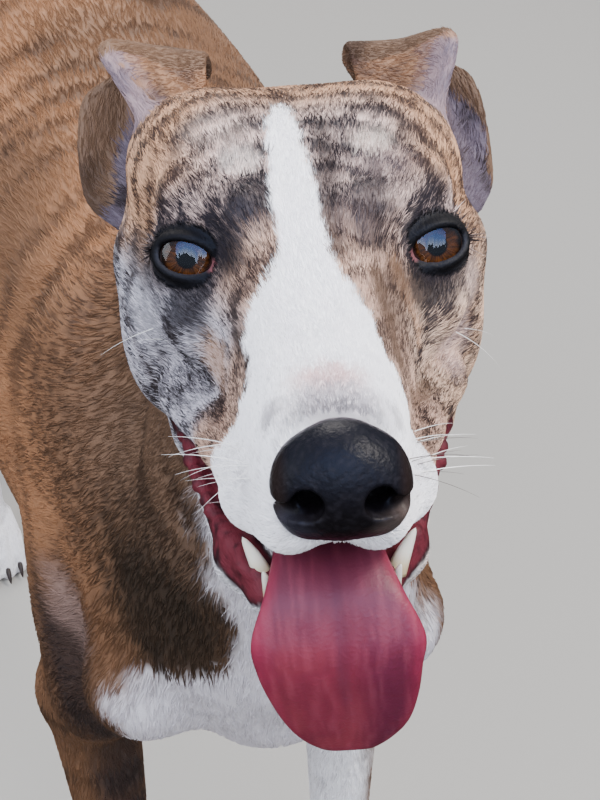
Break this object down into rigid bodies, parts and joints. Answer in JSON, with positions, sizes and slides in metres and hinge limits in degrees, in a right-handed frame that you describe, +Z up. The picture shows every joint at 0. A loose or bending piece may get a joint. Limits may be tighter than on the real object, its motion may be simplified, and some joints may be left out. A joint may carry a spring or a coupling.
{
  "type": "greyhound",
  "caption": "Life-size still model of a standing brindle and white greyhound, head raised and turned, mouth open with the tongue hanging, ears folded back.",
  "frame": {"origin": "on the floor, at the middle of the outline seen from above", "axes": "+Z up; the trunk lies along Y, the dog faces -Y and its left side is +X"},
  "size_m": [0.2404, 1.0831, 0.8742],
  "materials": {
    "coat": "short smooth fur, brindle with white",
    "nose_leather": "moist black nose leather",
    "tongue": "moist pink flesh",
    "eye": "wet, dark brown",
    "claw": "dark horn"
  },
  "bodies": {
    "root": {"head": "coat", "lower_jaw": "coat", "ear_left": "coat", "ear_right": "coat", "neck": "coat", "chest": "coat", "loin_and_rump": "coat", "tail": "coat", "foreleg_left": "coat", "foreleg_right": "coat", "forepaw_left": "coat", "forepaw_right": "coat", "hindleg_left": "coat", "hindleg_right": "coat", "hindpaw_left": "coat", "hindpaw_right": "coat", "nose": "nose_leather", "tongue": "tongue", "eye_left": "eye", "eye_right": "eye", "claw_fore_left_1": "claw", "claw_fore_left_2": "claw", "claw_fore_left_3": "claw", "claw_fore_left_4": "claw", "claw_fore_left_5": "claw", "claw_fore_right_1": "claw", "claw_fore_right_2": "claw", "claw_fore_right_3": "claw", "claw_fore_right_4": "claw", "claw_fore_right_5": "claw", "claw_hind_left_1": "claw", "claw_hind_left_2": "claw", "claw_hind_left_3": "claw", "claw_hind_left_4": "claw", "claw_hind_right_1": "claw", "claw_hind_right_2": "claw", "claw_hind_right_3": "claw", "claw_hind_right_4": "claw"}
  },
  "joints": []
}
